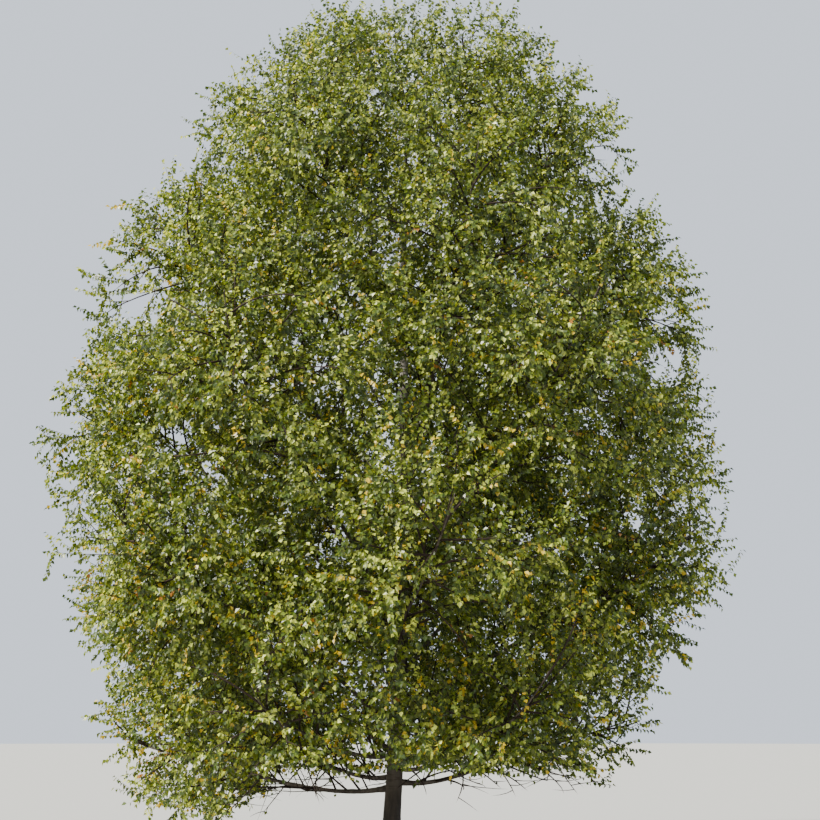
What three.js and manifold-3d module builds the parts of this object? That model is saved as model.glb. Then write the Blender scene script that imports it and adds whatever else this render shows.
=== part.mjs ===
// An open-grown downy birch in full leaf: one trunk with a flared foot, boughs in five tiers
// that leave it flat and sagging at the bottom and steeply towards the top, and a mass of
// twigs and leaf sprays on the end of every bough. Millimetres, +Z up. The origin is the
// centre of the flat cut at ground level, and +X is to the right of the view from -Y.
import * as THREE from "three";
import { mergeVertices } from "three/addons/utils/BufferGeometryUtils.js";
import Module from "manifold-3d";

const wasm = await Module();
wasm.setup();

const SEED = 7;
const TURN = Math.PI * 2;
const UP = new THREE.Vector3(0, 0, 1);

// The crown's envelope
const CROWN_TOP = 10700;
const CROWN_FOOT = 450;
const WIDEST_HEIGHT = 4600;
const CROWN_RADIUS = 4100;
const FOOT_SHARE = 0.6; // crown radius at its foot, of the widest
const DOME_POWER = 1.6;
const SKIRT_POWER = 1.5;
const CROWN_LEAN = 0.04; // how far the crown's middle moves towards +X for each unit of height
const LEAN_PIVOT = 5000; // height at which the crown's middle stands over the foot
const LOBE_SWELL = 1.05; // how far the middle of a mass stands out of the envelope
const LOBE_DROP = 0.16; // how much of that is lost at LOBE_WIDTH from its middle
const LOBE_WIDTH = 1700;

// The open arch under the crown, which runs through from front to back past the trunk
const ARCH_HEIGHT = 1450;
const ARCH_MIDDLE = 400; // how far to the right of the trunk it is
const ARCH_HALF_WIDTH = { top: 1700, foot: 2600 };

// The trunk
const TRUNK_TIP = 9300;
const TRUNK_RADIUS = 102; // above the root flare
const TRUNK_TIP_RADIUS = 15;
const TRUNK_TAPER = 0.85;
const TRUNK_LEAN = 0.03;
const TRUNK_SWAY = 70;
const SIDE_SWAY_TURNS = 0.8; // turns of the sway to the side over the trunk's length
const DEEP_SWAY_TURNS = 0.6; // and of the sway in depth
const FLARE_RADIUS = 78; // added at the ground
const FLARE_HEIGHT = 190;
const FLARE_LOBES = 5;
const FLARE_RIPPLE = 0.32;
const TRUNK_SIDES = 12;
const TRUNK_RINGS = 14;
const RING_CROWDING = 1.7; // rings lie closer together towards the foot

// The boughs
const BOUGH_SIDES = 6;
const BOUGH_RINGS = 5;
const BOUGH_THICKNESS = 0.36; // bough radius where it leaves the trunk, of the trunk's there
const BOUGH_TIP_SHARE = 0.5;
const BOUGH_SWAY = 0.07; // sideways swing of a bough, of its length
const ROOT_WANDER = 180; // how far up or down the trunk a bough's root is shifted
const SEAT_GAP = 0.3; // between a limb and what carries it

// The stem of a mass and its twigs
const STEM_SIDES = 4;
const STEM_RINGS = 3;
const STEM_END_RADIUS = 9;
const STEM_BEND = 0.22; // how far a stem turns from the way that it starts
const STEM_RISE = 0.5; // and how much of that is upwards
const STEM_REACH = { most: 3000, least: 500, step: 40 };
const TWIG_SIDES = 3;
const TWIG_ROOT_RADIUS = 13;
const TWIG_END_RADIUS = 9;
const TWIGS_PER_MASS = 6;
const TWIG_TRIES = 14;
const TWIG_REACH = { most: 1900, least: 300, step: 75 };
const TWIG_SPREAD = { least: 0.7, most: 1.3 }; // radians between a twig and its stem
const TWIG_ROOTS = { first: 0.06, last: 0.82 }; // where twigs leave the stem, of its length
const TIP_ROOM = 190; // twigs and stems end this far inside the crown

// Leaf sprays
const LEAVES_PER_MASS = 15;
const LEAF_LENGTH = 700; // one blade stands for a spray of leaves
const LEAF_WIDTH = 540;
const LEAF_THICKNESS = 42;
const LEAF_SHOULDER = 0.38; // where along the blade it is widest
const LEAF_SINK = 7; // how far behind the twig's axis a blade starts
const LEAF_AHEAD = 0.7; // how far a leaf follows its twig, beside a seeded direction of up to 1
const LEAF_RISE = 0.6; // the most that this direction rises
const FACE_UP = 0.8; // how far its face turns up, beside 1 away from the trunk
const FACE_WANDER = 0.6;
const LEAF_TRIES = 90;
const LEAF_SPACING = 0.45; // least distance between two leaves' middles, of their length
const LEAF_ROOTS = { first: 0.2, last: 0.99 }; // along a stem or twig

// Clearances
const MASS_MARGIN = 12; // between a mass and the bound to its neighbours
const LIMB_MARGIN = 14; // and its twigs and leaves this far from limbs
const LOWEST_LEAF = 330;
const BEAD_SPACING = 50;
const SLIVER = 2.5; // edges shorter than this are closed up after joining
const WELD = 0.05; // and shorter than this after a cut by the trunk

// Tiers from the ground up. count is the masses in a tier, turn is the direction of the first
// in degrees, and height and reach place their middles, with reach a share of the crown's
// radius there. A bough ends at tip, a share of that radius, and at drop below the middle of
// its mass. rise is its mean slope, and leaving and ending are the slopes of its two ends. A
// tier with no bough grows from the trunk directly. lift raises the masses over the arch.
const TIERS = [
  {
    name: "skirt", count: 6, turn: 8, height: 1450, reach: 0.8, lift: 700,
    bough: { tip: 0.62, drop: 150, rise: 0.2, leaving: -0.24, ending: 0.22 },
  },
  {
    name: "lower", count: 6, turn: 38, height: 3150, reach: 0.76,
    bough: { tip: 0.62, drop: 250, rise: 0.6, leaving: 0.75, ending: 0.42 },
  },
  {
    name: "middle", count: 6, turn: 3, height: 4950, reach: 0.71,
    bough: { tip: 0.6, drop: 300, rise: 0.95, leaving: 1.3, ending: 0.7 },
  },
  {
    name: "upper", count: 5, turn: -6, height: 6750, reach: 0.66,
    bough: { tip: 0.58, drop: 400, rise: 1.35, leaving: 1.75, ending: 1.0 },
  },
  {
    name: "shoulder", count: 4, turn: 62, height: 8250, reach: 0.6,
    bough: { tip: 0.55, drop: 450, rise: 1.7, leaving: 2.1, ending: 1.4 },
  },
  { name: "crest", count: 3, turn: 75, height: 9350, reach: 0.56, rise: 1.2 },
  { name: "top", count: 1, turn: 0, height: 9900, reach: 0 },
];
const AZIMUTH_WANDER = 7; // degrees
const HEIGHT_WANDER = 130;

// A repeatable number from 0 to 1 for a place in the tree.
function chance(a, b = 0, c = 0, d = 0) {
  const wave = Math.sin(a * 12.9898 + b * 78.233 + c * 37.719 + d * 9.151 + SEED) * 43758.5453;
  return wave - Math.floor(wave);
}

function between(low, high, ...place) {
  return low + (high - low) * chance(...place);
}

function crownMiddle(z) {
  return CROWN_LEAN * (z - LEAN_PIVOT);
}

function crownRadius(z) {
  if (z > WIDEST_HEIGHT) {
    const up = Math.min((z - WIDEST_HEIGHT) / (CROWN_TOP - WIDEST_HEIGHT), 1);
    return CROWN_RADIUS * Math.sqrt(1 - up ** DOME_POWER);
  }
  const down = Math.min((WIDEST_HEIGHT - z) / (WIDEST_HEIGHT - CROWN_FOOT), 1);
  return CROWN_RADIUS * (1 - (1 - FOOT_SHARE) * down ** SKIRT_POWER);
}

// The least height of foliage at a distance to the side.
function undersideHeight(x) {
  const { top, foot } = ARCH_HALF_WIDTH;
  const fall = THREE.MathUtils.clamp((Math.abs(x - ARCH_MIDDLE) - top) / (foot - top), 0, 1);
  return ARCH_HEIGHT - (ARCH_HEIGHT - LOWEST_LEAF) * fall;
}

function trunkAxis(z) {
  const up = z / TRUNK_TIP;
  const x = TRUNK_LEAN * z + TRUNK_SWAY * Math.sin(up * TURN * SIDE_SWAY_TURNS);
  return new THREE.Vector3(x, TRUNK_SWAY * (1 - Math.cos(up * TURN * DEEP_SWAY_TURNS)), z);
}

function trunkRadius(z, angle = 0) {
  const taper = Math.max(1 - z / TRUNK_TIP, 0) ** TRUNK_TAPER;
  const ripple = 1 + FLARE_RIPPLE * Math.cos(FLARE_LOBES * angle);
  const flare = FLARE_RADIUS * Math.exp(-z / FLARE_HEIGHT) * ripple;
  return TRUNK_TIP_RADIUS + (TRUNK_RADIUS - TRUNK_TIP_RADIUS) * taper + flare;
}

// Solids and geometry are passed back and forth as closed meshes with shared corners.
function solidOf(geometry) {
  const bare = geometry.clone();
  bare.deleteAttribute("normal");
  bare.deleteAttribute("uv");
  const merged = mergeVertices(bare, 1e-3);
  return new wasm.Manifold(
    new wasm.Mesh({
      numProp: 3,
      vertProperties: new Float32Array(merged.attributes.position.array),
      triVerts: new Uint32Array(merged.index.array),
    }),
  );
}

function geometryOf(solid) {
  const mesh = solid.getMesh();
  const geometry = new THREE.BufferGeometry();
  geometry.setAttribute("position", new THREE.BufferAttribute(mesh.vertProperties, 3));
  geometry.setIndex(new THREE.BufferAttribute(mesh.triVerts, 1));
  geometry.computeVertexNormals();
  return geometry;
}

// The largest of the closed pieces of a solid: a limb without what a cut left over, or a mass
// without what isn't joined to its stem.
function largestPiece(solid) {
  const pieces = solid.asOriginal().simplify(WELD).decompose();
  return pieces.sort((a, b) => b.volume() - a.volume())[0];
}

function trunkGeometry(clearance = 0) {
  const geometry = new THREE.CylinderGeometry(1, 1, 1, TRUNK_SIDES, TRUNK_RINGS);
  const corners = geometry.attributes.position;
  for (let i = 0; i < corners.count; i++) {
    const across = corners.getX(i);
    const deep = -corners.getZ(i);
    const z = TRUNK_TIP * (corners.getY(i) + 0.5) ** RING_CROWDING;
    const radius = trunkRadius(z, Math.atan2(deep, across)) + clearance;
    const middle = trunkAxis(z);
    corners.setXYZ(i, middle.x + across * radius, middle.y + deep * radius, z);
  }
  return geometry;
}

// A cylinder bent along a curve, with its radius eased from root to end.
function limbGeometry(curve, rootRadius, endRadius, sides, rings) {
  const geometry = new THREE.CylinderGeometry(1, 1, 1, sides, rings);
  const frames = curve.computeFrenetFrames(rings, false);
  const corners = geometry.attributes.position;
  const corner = new THREE.Vector3();
  for (let i = 0; i < corners.count; i++) {
    corner.fromBufferAttribute(corners, i);
    const along = corner.y + 0.5;
    const ring = Math.round(along * rings);
    const radius = rootRadius + (endRadius - rootRadius) * along;
    const place = curve.getPointAt(ring / rings);
    place.addScaledVector(frames.normals[ring], corner.x * radius);
    place.addScaledVector(frames.binormals[ring], -corner.z * radius);
    corners.setXYZ(i, place.x, place.y, place.z);
  }
  return geometry;
}

// A birch leaf's rhombic outline as a thin eight-faced blade.
function leafGeometry(leaf) {
  const geometry = new THREE.OctahedronGeometry(1);
  const corners = geometry.attributes.position;
  for (let i = 0; i < corners.count; i++) {
    const x = corners.getX(i);
    const along = x > 0.5 ? 1 : x < -0.5 ? 0 : LEAF_SHOULDER;
    const place = leafPoint(leaf, along, corners.getY(i));
    place.addScaledVector(leaf.normal, (corners.getZ(i) * LEAF_THICKNESS) / 2);
    corners.setXYZ(i, place.x, place.y, place.z);
  }
  return geometry;
}

// A point of a leaf's plane: along from its root to its tip, across from -1 to 1 at its widest.
function leafPoint(leaf, along, across) {
  const side = new THREE.Vector3().crossVectors(leaf.normal, leaf.direction);
  const place = leaf.root.clone().addScaledVector(leaf.direction, along * LEAF_LENGTH - LEAF_SINK);
  return place.addScaledVector(side, (across * LEAF_WIDTH) / 2);
}

// Where each mass has its middle, and which way it faces from the trunk.
function layOutMasses() {
  const masses = [];
  TIERS.forEach((tier, level) => {
    for (let k = 0; k < tier.count; k++) {
      const swing = between(-AZIMUTH_WANDER, AZIMUTH_WANDER, level, k, 1);
      const azimuth = THREE.MathUtils.degToRad(tier.turn + (k * 360) / tier.count + swing);
      const lift = (tier.lift ?? 0) * (1 - Math.abs(Math.cos(azimuth)));
      const height = tier.height + lift + between(-HEIGHT_WANDER, HEIGHT_WANDER, level, k, 2);
      const outward = new THREE.Vector3(Math.cos(azimuth), Math.sin(azimuth), 0);
      const middle = outward.clone().multiplyScalar(tier.reach * crownRadius(height));
      middle.x += crownMiddle(height);
      middle.z = height;
      masses.push({ tier, level, k, outward, middle, key: level * 10 + k });
    }
  });
  return masses;
}

// A bough's centreline: from the trunk's axis to its tip, with a slope and a sideways swing
// at each end.
function boughCurve({ tier, level, k, outward, middle }) {
  const { tip, drop, rise, leaving, ending } = tier.bough;
  const reach = tip * crownRadius(middle.z);
  const end = outward.clone().multiplyScalar(reach).setZ(middle.z - drop);
  end.x += crownMiddle(middle.z);
  const root = trunkAxis(end.z - rise * reach + between(-ROOT_WANDER, ROOT_WANDER, level, k, 7));
  const run = Math.hypot(end.x - root.x, end.y - root.y) / 3;
  const across = new THREE.Vector3(-outward.y, outward.x, 0).multiplyScalar(run * 3 * BOUGH_SWAY);
  const first = root.clone().addScaledVector(outward, run).addScaledVector(UP, run * leaving);
  first.addScaledVector(across, between(-1, 1, level, k, 3));
  const second = end.clone().addScaledVector(outward, -run).addScaledVector(UP, -run * ending);
  second.addScaledVector(across, between(-1, 1, level, k, 4));
  return new THREE.CubicBezierCurve3(root, first, second, end);
}

// The stem of a mass goes on from its bough's tip, or leaves the trunk, and ends near the
// crown's outer face.
function stemCurve(mass) {
  const { tier, level, k, outward, middle } = mass;
  let start;
  let heading;
  if (mass.bough) {
    heading = mass.bough.curve.getTangentAt(1);
    start = mass.bough.curve.getPointAt(1).addScaledVector(heading, SEAT_GAP);
  } else if (tier.reach > 0) {
    heading = new THREE.Vector3(outward.x, outward.y, tier.rise).normalize();
    start = trunkAxis(middle.z - tier.rise * tier.reach * crownRadius(middle.z));
  } else {
    heading = UP.clone();
    start = trunkAxis(TRUNK_TIP).addScaledVector(UP, SEAT_GAP);
  }
  const bend = new THREE.Vector3(between(-1, 1, level, k, 5), between(-1, 1, level, k, 6), STEM_RISE);
  const turned = heading.clone().addScaledVector(bend, STEM_BEND).normalize();
  let reach = STEM_REACH.most;
  let end = start.clone().addScaledVector(turned, reach);
  while (reach > STEM_REACH.least && !isInSpace(end, mass, TIP_ROOM)) {
    reach -= STEM_REACH.step;
    end = start.clone().addScaledVector(turned, reach);
  }
  const control = start.clone().addScaledVector(heading, reach / 2);
  return new THREE.QuadraticBezierCurve3(start, control, end);
}

// Is a point in the mass's own space: nearer its middle than any other, inside its lobe of the
// crown and over its underside? room is kept to the crown's bounds, and half to neighbours.
function isInSpace(point, mass, room = 0) {
  if (point.z < undersideHeight(point.x) + room || point.z > CROWN_TOP - room) return false;
  const offset = point.clone().sub(mass.middle);
  const facing = mass.tier.reach > 0 ? mass.outward : UP;
  const aside = offset.clone().addScaledVector(facing, -offset.dot(facing)).length() / LOBE_WIDTH;
  const lobe = LOBE_SWELL - LOBE_DROP * Math.min(aside * aside, 1);
  const radius = Math.hypot(point.x - crownMiddle(point.z), point.y);
  if (radius > crownRadius(point.z) * lobe - room) return false;
  for (const other of masses) {
    if (other === mass) continue;
    const apart = other.middle.distanceTo(mass.middle);
    const nearer = point.distanceToSquared(other.middle) - offset.lengthSq();
    if (nearer / (2 * apart) < MASS_MARGIN + room / 2) return false;
  }
  return true;
}

// Beads along the trunk and boughs, which twigs and leaves keep clear of.
function limbBeads() {
  const swell = BEAD_SPACING / 4;
  const beads = [];
  for (let z = 0; z <= TRUNK_TIP; z += BEAD_SPACING) {
    beads.push({ place: trunkAxis(z), radius: trunkRadius(z) + swell });
  }
  for (const { bough } of masses) {
    if (!bough) continue;
    const count = Math.ceil(bough.curve.getLength() / BEAD_SPACING);
    for (let i = 0; i <= count; i++) {
      const radius = bough.rootRadius + ((bough.tipRadius - bough.rootRadius) * i) / count;
      beads.push({ place: bough.curve.getPointAt(i / count), radius: radius + swell });
    }
  }
  return beads;
}

function twigFits(mass, root, end, limbs) {
  if (!isInSpace(root, mass) || !isInSpace(end, mass, TIP_ROOM)) return false;
  const line = new THREE.Line3(root, end);
  const nearest = new THREE.Vector3();
  return limbs.every((limb) => {
    line.closestPointToPoint(limb.place, true, nearest);
    return nearest.distanceTo(limb.place) > limb.radius + TWIG_ROOT_RADIUS + LIMB_MARGIN;
  });
}

function leafFits(mass, leaf, limbs) {
  const outline = [[0, 0], [LEAF_SHOULDER, -1], [1, 0], [LEAF_SHOULDER, 1]];
  if (!outline.every(([along, across]) => isInSpace(leafPoint(leaf, along, across), mass))) return false;
  const side = new THREE.Vector3().crossVectors(leaf.normal, leaf.direction);
  return limbs.every((limb) => {
    const offset = limb.place.clone().sub(leaf.middle);
    const room = limb.radius + LIMB_MARGIN;
    return (
      Math.abs(offset.dot(leaf.normal)) > room + LEAF_THICKNESS / 2 ||
      Math.abs(offset.dot(leaf.direction)) > room + LEAF_LENGTH / 2 ||
      Math.abs(offset.dot(side)) > room + LEAF_WIDTH / 2
    );
  });
}

// Twigs leave the stem one after another towards its end. Each is, of several seeded
// directions, the one whose end stays in the space and lies farthest from the ends before it.
function growTwigs(mass, stem, limbs) {
  const twigs = [];
  const ends = [stem.getPointAt(1)];
  for (let n = 0; n < TWIGS_PER_MASS; n++) {
    const share = (TWIG_ROOTS.last - TWIG_ROOTS.first) * (n / (TWIGS_PER_MASS - 1));
    const root = stem.getPointAt(TWIG_ROOTS.first + share);
    const heading = stem.getTangentAt(TWIG_ROOTS.first + share);
    const side = new THREE.Vector3().crossVectors(heading, UP).normalize();
    const over = new THREE.Vector3().crossVectors(side, heading);
    let best = { apart: 0 };
    for (let tryOut = 0; tryOut < TWIG_TRIES; tryOut++) {
      const roll = ((tryOut + chance(mass.key, n, tryOut, 11)) / TWIG_TRIES) * TURN;
      const spread = between(TWIG_SPREAD.least, TWIG_SPREAD.most, mass.key, n, tryOut, 12);
      const direction = heading.clone().multiplyScalar(Math.cos(spread));
      direction.addScaledVector(side, Math.cos(roll) * Math.sin(spread));
      direction.addScaledVector(over, Math.sin(roll) * Math.sin(spread));
      let reach = TWIG_REACH.most;
      let end = root.clone().addScaledVector(direction, reach);
      while (reach > TWIG_REACH.least && !twigFits(mass, root, end, limbs)) {
        reach -= TWIG_REACH.step;
        end = root.clone().addScaledVector(direction, reach);
      }
      const apart = Math.min(...ends.map((other) => other.distanceTo(end)));
      if (reach > TWIG_REACH.least && apart > best.apart) best = { end, apart };
    }
    if (!best.end) continue;
    ends.push(best.end);
    twigs.push(new THREE.LineCurve3(root, best.end));
  }
  return twigs;
}

// A leaf spray at a seeded place and direction on one of the mass's stem and twigs, with its
// face turned up and away from the trunk.
function tryLeaf(mass, carriers, n, tryOut) {
  const roll = (low, high, which) => between(low, high, mass.key, 20 + n, tryOut, which);
  const carrier = carriers[Math.floor(roll(0, carriers.length, 1))];
  const share = roll(LEAF_ROOTS.first, LEAF_ROOTS.last, 2);
  const root = carrier.getPointAt(share);
  const direction = carrier.getTangentAt(share).multiplyScalar(LEAF_AHEAD);
  direction.add(new THREE.Vector3(roll(-1, 1, 3), roll(-1, 1, 4), roll(-1, LEAF_RISE, 5))).normalize();
  const normal = mass.outward.clone().addScaledVector(UP, FACE_UP);
  normal.x += roll(-FACE_WANDER, FACE_WANDER, 6);
  normal.y += roll(-FACE_WANDER, FACE_WANDER, 7);
  normal.addScaledVector(direction, -normal.dot(direction)).normalize();
  const middle = root.clone().addScaledVector(direction, LEAF_LENGTH / 2);
  return { root, direction, normal, middle };
}

// Leaf sprays are dealt out one by one. Each is, of many seeded ones, the one that stays in
// the space and lies farthest from the sprays before it.
function growLeaves(mass, carriers, limbs) {
  const leaves = [];
  for (let n = 0; n < LEAVES_PER_MASS; n++) {
    let best = { apart: LEAF_SPACING * LEAF_LENGTH };
    for (let tryOut = 0; tryOut < LEAF_TRIES; tryOut++) {
      const leaf = tryLeaf(mass, carriers, n, tryOut);
      const apart = Math.min(CROWN_TOP, ...leaves.map((other) => other.middle.distanceTo(leaf.middle)));
      if (apart <= best.apart) continue;
      if (leafFits(mass, leaf, limbs)) best = { ...leaf, apart };
    }
    if (best.root) leaves.push(best);
  }
  return leaves;
}

function massSolid(mass, limbs) {
  const near = limbs.filter((limb) => limb.place.distanceTo(mass.middle) < STEM_REACH.most);
  const stem = stemCurve(mass);
  const rootRadius = mass.bough ? mass.bough.tipRadius : TRUNK_TIP_RADIUS;
  const twigs = growTwigs(mass, stem, near);
  const solids = [solidOf(limbGeometry(stem, rootRadius, STEM_END_RADIUS, STEM_SIDES, STEM_RINGS))];
  for (const twig of twigs) {
    solids.push(solidOf(limbGeometry(twig, TWIG_ROOT_RADIUS, TWIG_END_RADIUS, TWIG_SIDES, 1)));
  }
  for (const leaf of growLeaves(mass, [stem, ...twigs], near)) solids.push(solidOf(leafGeometry(leaf)));
  return wasm.Manifold.union(solids).asOriginal().simplify(SLIVER);
}

function material(color, roughness) {
  return new THREE.MeshStandardMaterial({ color, roughness, metalness: 0 });
}

function addMesh(group, name, geometry, finish) {
  const mesh = new THREE.Mesh(geometry, finish);
  mesh.name = name;
  group.add(mesh);
}

const tree = new THREE.Group();
const trunkBark = material(0x8d857b, 0.8);
const boughBark = material(0x4d4038, 0.85);
const foliage = material(0x6d7f2a, 0.55);

addMesh(tree, "trunk", trunkGeometry(), trunkBark);
const trunkSpace = solidOf(trunkGeometry(SEAT_GAP));

const masses = layOutMasses();
for (const mass of masses) {
  if (!mass.tier.bough) continue;
  const curve = boughCurve(mass);
  const rootRadius = BOUGH_THICKNESS * trunkRadius(curve.v0.z);
  mass.bough = { curve, rootRadius, tipRadius: rootRadius * BOUGH_TIP_SHARE };
  const limb = limbGeometry(curve, rootRadius, mass.bough.tipRadius, BOUGH_SIDES, BOUGH_RINGS);
  const seated = largestPiece(solidOf(limb).subtract(trunkSpace));
  addMesh(tree, `bough_${mass.tier.name}_${mass.k + 1}`, geometryOf(seated), boughBark);
}

const limbs = limbBeads();
for (const mass of masses) {
  let solid = massSolid(mass, limbs);
  if (!mass.bough && mass.tier.reach > 0) solid = solid.subtract(trunkSpace);
  addMesh(tree, `foliage_${mass.tier.name}_${mass.k + 1}`, geometryOf(largestPiece(solid)), foliage);
}

export default tree;
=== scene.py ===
"""An open-grown downy birch in leaf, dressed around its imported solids.

The trunk and boughs get meshes with the bark's relief. Each mass of foliage is grown again by
the rule of the part's source, and carried on to branchlets, shoots and single leaves.
Metres, +Z up. The origin is the centre of the flat cut at ground level.
"""

import functools
import math
from typing import NamedTuple

import bpy
import numpy as np
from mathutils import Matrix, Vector, noise


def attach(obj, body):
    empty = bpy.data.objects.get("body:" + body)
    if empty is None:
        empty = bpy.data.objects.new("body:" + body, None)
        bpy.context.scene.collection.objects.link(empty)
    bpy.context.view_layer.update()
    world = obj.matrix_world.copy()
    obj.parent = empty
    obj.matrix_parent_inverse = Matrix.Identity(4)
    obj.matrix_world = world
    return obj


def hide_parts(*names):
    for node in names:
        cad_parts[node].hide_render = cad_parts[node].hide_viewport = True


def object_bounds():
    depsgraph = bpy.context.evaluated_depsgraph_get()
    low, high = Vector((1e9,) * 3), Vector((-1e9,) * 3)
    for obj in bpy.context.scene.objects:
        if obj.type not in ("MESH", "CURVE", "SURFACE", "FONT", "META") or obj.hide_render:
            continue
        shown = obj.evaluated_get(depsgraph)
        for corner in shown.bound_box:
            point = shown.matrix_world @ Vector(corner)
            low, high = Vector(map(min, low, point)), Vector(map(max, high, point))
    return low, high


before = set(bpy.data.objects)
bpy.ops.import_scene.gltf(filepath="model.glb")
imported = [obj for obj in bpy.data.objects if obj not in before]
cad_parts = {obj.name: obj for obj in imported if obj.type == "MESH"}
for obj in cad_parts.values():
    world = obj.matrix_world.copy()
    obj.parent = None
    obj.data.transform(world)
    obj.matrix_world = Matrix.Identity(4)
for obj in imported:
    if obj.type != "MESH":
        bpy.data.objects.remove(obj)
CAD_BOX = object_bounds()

bl_info = {
    "name": "Downy Birch",
    "version": (1, 0, 0),
    "blender": (4, 5, 0),
    "location": "View3D > Sidebar > Birch",
    "description": "Grows the bark, twigs and leaves of a birch around its packed solids",
    "category": "Object",
}

SEED = 7
TURN = 2 * math.pi
GOLDEN_SHARE = 0.618034
GOLDEN_ANGLE = TURN * GOLDEN_SHARE
UP = np.array((0.0, 0.0, 1.0))
NEARLY_UP = UP + (0.01, 0.02, 0.0)  # never along an upright limb
CURVE_SAMPLES = 201  # along a Bezier curve, before its points are spaced evenly

# The crown's envelope, as in the part's source
CROWN_TOP = 10.7
CROWN_FOOT = 0.45
WIDEST_HEIGHT = 4.6
CROWN_RADIUS = 4.1
FOOT_SHARE = 0.6
DOME_POWER = 1.6
SKIRT_POWER = 1.5
CROWN_LEAN = 0.04
LEAN_PIVOT = 5.0
LOBE_SWELL = 1.05
LOBE_DROP = 0.16
LOBE_WIDTH = 1.7
LOWEST_LEAF = 0.33
MASS_MARGIN = 0.012
THINNEST_CROWN = 0.1  # the least crown radius that depths are measured by

# The open arch under the crown, which runs through from front to back past the trunk
ARCH_HEIGHT = 1.45
ARCH_MIDDLE = 0.4
ARCH_HALF_WIDTH = (1.7, 2.6)  # at its top and at its foot
ARCH_FRINGE = (0.06, 0.3)  # how far all leaves may hang into it, and how much farther the last
ARCH_FLATNESS = 0.85  # how much less steep side limbs are that would end in it
ARCH_DROOP = 0.08  # how far the tip of such a limb sinks, of its length

# The gaps where the sky shows through in the camera's view: how far each is to the right of the
# trunk and how high, at the trunk's distance, and its radius
GAPS = (
    (-3.2, 6.8, 0.42), (2.75, 8.85, 0.34), (2.95, 8.35, 0.3), (3.4, 6.0, 0.28), (2.6, 0.75, 0.6),
    (-3.9, 5.25, 0.3), (-2.62, 5.1, 0.24), (-2.22, 4.7, 0.22), (2.95, 4.13, 0.22), (-1.17, 6.37, 0.2),
    (-0.85, 6.05, 0.16), (-3.5, 3.6, 0.25), (3.45, 6.6, 0.2), (1.05, 10.5, 0.2), (-1.75, 5.75, 0.16),
)
GAP_EDGE = 0.5  # how far past its radius a gap begins to thin the limbs, of that radius

# The hollows of the crown's front, given in the same way, where its face lies in shade
HOLLOWS = ((0.95, 2.5, 0.75), (0.8, 3.8, 0.5))
HOLLOW_DEPTH = (1.7, 2.3)  # in front of the trunk: where limbs thin out, and where few are left
HOLLOW_SHARE = 0.8  # the share that is missing there

# The lumps of the crown's face
LUMP_SCALE = 0.85  # lumps to a metre
LUMP_SWELL = 0.5  # how far they stand out, for noise of 1
LUMP_SAY = 0.9  # and how much denser they are

# The trunk
TRUNK_TIP = 9.3
TRUNK_RADIUS = 0.102
TRUNK_TIP_RADIUS = 0.015
TRUNK_TAPER = 0.85
TRUNK_LEAN = 0.03
TRUNK_SWAY = 0.07
SIDE_SWAY_TURNS = 0.8
DEEP_SWAY_TURNS = 0.6
FLARE_RADIUS = 0.078
FLARE_HEIGHT = 0.19
FLARE_LOBES = 5
FLARE_RIPPLE = 0.32
TRUNK_SIDES = 64
TRUNK_RINGS = 420
RING_CROWDING = 1.5  # rings lie closer together towards the foot

# The boughs and the stems that go on from them
BOUGH_THICKNESS = 0.36
BOUGH_TIP_SHARE = 0.5
BOUGH_TAPER = 0.35  # under 1, so that a bough thins soonest near the trunk
BOUGH_SWAY = 0.07
ROOT_WANDER = 0.18
AZIMUTH_WANDER = 7  # degrees
HEIGHT_WANDER = 0.13
STEM_BEND = 0.22
STEM_RISE = 0.5
STEM_REACH = (0.5, 3.0, 0.04)  # least, most and step
STEM_END_RADIUS = 0.005
BOUGH_STEPS = 40
STEM_STEPS = 20
BOUGH_SIDES = 12
BOUGH_RING_SPACING = 0.035
COLLAR_SHARE = 0.55  # how much thicker a bough is where it leaves the trunk, of its radius
COLLAR_LENGTH = 0.16  # over which that fades to about a third

# The bark's relief: features of the noise to a metre along each axis, and shares of the bark's depth
RIDGE_WAVES = (22, 22, 5)
RIDGE_SHARE = 0.9
PLATE_WAVES = (34, 34, 16)
PLATE_SHARE = 0.4
SWELLING_WAVES = (7, 7, 2.5)
SWELLING_SHARE = 0.35
LENTICEL_WAVES = (9, 9, 70)
LENTICEL_SHARE = 0.12
KNOT_WAVES = (9, 9, 9)
KNOT_LEVEL = 0.15  # noise over this stands out as a knot
KNOT_SHARE = 0.9
WRINKLE_WAVES = (60, 60, 60)
WRINKLE_SHARE = 0.25
OLD_BARK_TOP = 0.15  # the height up to which all bark is ridged
OLD_BARK_FADE = 0.45  # and over which the ridges then fade to about a third
FOOT_AND_SHADE_HEIGHTS = (0.9, 2.2)  # where the foot's dark colour begins to fade, and where it ends. It is partly the old bark of the foot and partly painted shade of the crown on the lower trunk
FOOT_AND_SHADE_SHARE = 0.95  # how much of it there is below
LEAST_TRUNK_RELIEF = 0.15  # on the thinnest trunk, of the relief at its foot
FULL_RELIEF_RADIUS = 0.03  # boughs thinner than this have a shallower relief
LEAST_BOUGH_RELIEF = 0.1  # and the thinnest this share of it
FOOT_HEIGHT = 0.001  # rings lower than this don't stand out

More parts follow.
